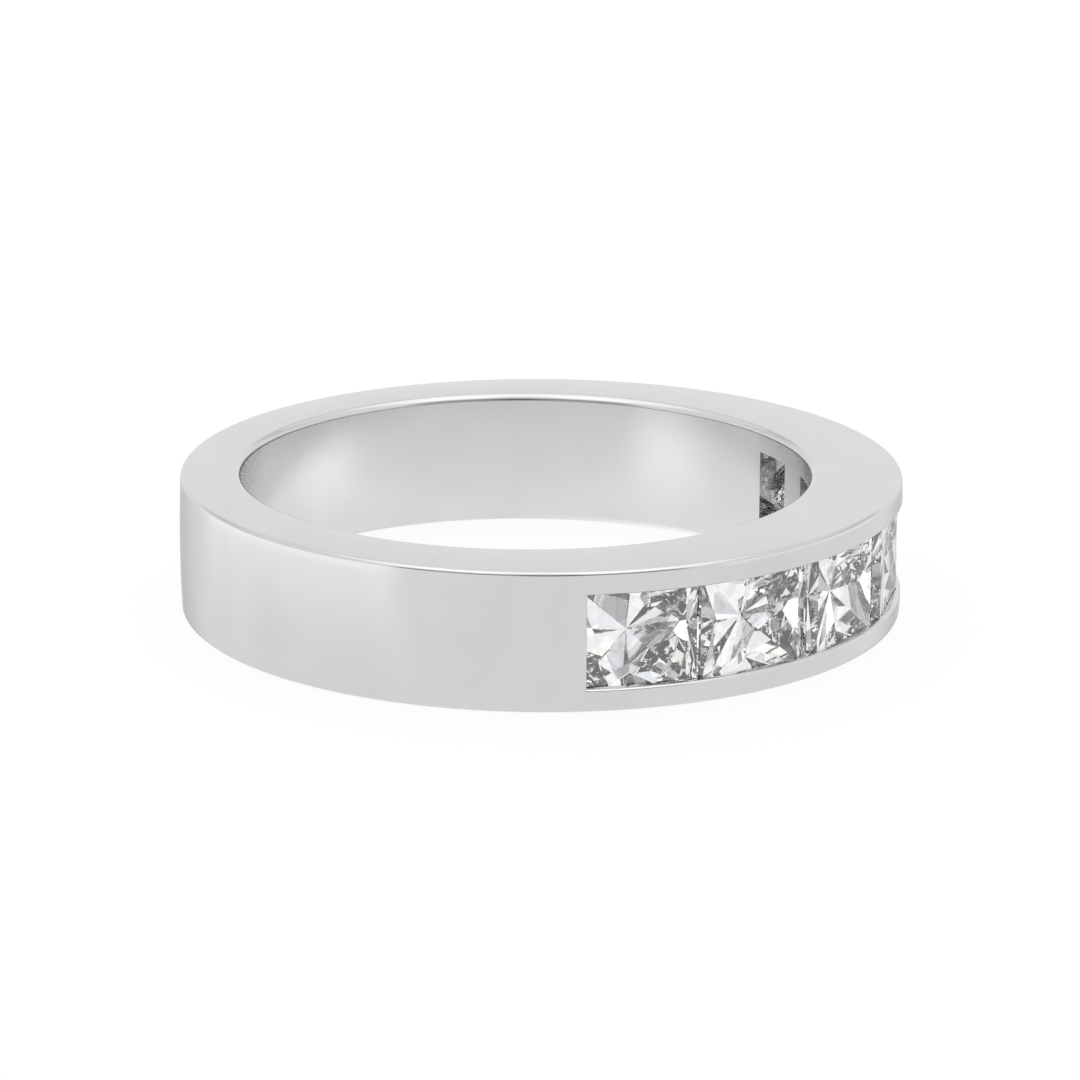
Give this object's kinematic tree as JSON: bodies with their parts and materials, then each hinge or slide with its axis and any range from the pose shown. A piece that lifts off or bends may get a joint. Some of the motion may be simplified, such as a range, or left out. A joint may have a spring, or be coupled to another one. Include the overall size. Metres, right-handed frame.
{
  "type": "channel set band",
  "caption": "Polished finger ring, thicker at its front, where clear square cut stones lie edge to edge in a channel between flush rails, with windows behind them.",
  "frame": {"origin": "centre of the band's round outside, on the plane that the band rests on", "axes": "+Z along the finger hole, upwards as the band lies on its side; the middle of the stones faces -Y; stone_1 is at the -X end"},
  "size_m": [0.0212, 0.0212, 0.0041],
  "materials": {
    "white_gold": "mirror polished and rhodium plated",
    "diamond": "clear, with flat polished facets"
  },
  "bodies": {
    "root": {"shank": "white_gold", "stone_1": "diamond", "stone_2": "diamond", "stone_3": "diamond", "stone_4": "diamond", "stone_5": "diamond", "stone_6": "diamond"}
  },
  "joints": []
}
